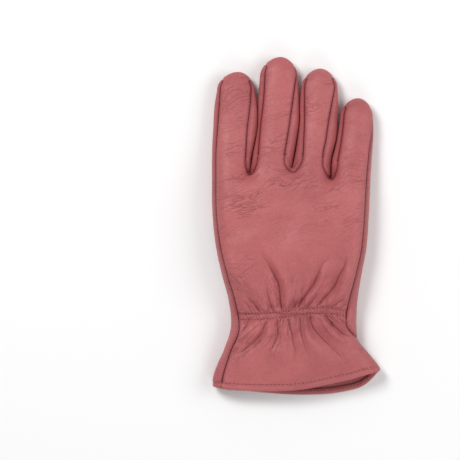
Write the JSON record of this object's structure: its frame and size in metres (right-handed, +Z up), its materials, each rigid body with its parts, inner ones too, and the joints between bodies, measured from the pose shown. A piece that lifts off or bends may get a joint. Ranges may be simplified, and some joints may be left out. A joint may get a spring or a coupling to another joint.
{
  "type": "leather work glove",
  "caption": "Right-hand leather work glove lying palm down, with a folded thumb set into the palm, an elastic wrist and a flared cuff.",
  "frame": {"origin": "middle of the glove's outline on the surface that it lies on", "axes": "+Z up through the back of the hand, +Y towards the fingertips, +X towards the little finger"},
  "size_m": [0.1154, 0.232, 0.0265],
  "materials": {
    "leather": "soft smooth grain, low sheen, dusty rose red",
    "binding_leather": "the same leather rolled over the edge and stitched",
    "elastic": "woven elastic band, matt",
    "thread": "sewing thread a shade deeper than the leather"
  },
  "bodies": {
    "root": {"back": "leather", "palm": "leather", "middle_ring_front": "leather", "thumb": "leather", "cuff_binding": "binding_leather", "wrist_elastic": "elastic"}
  },
  "joints": []
}
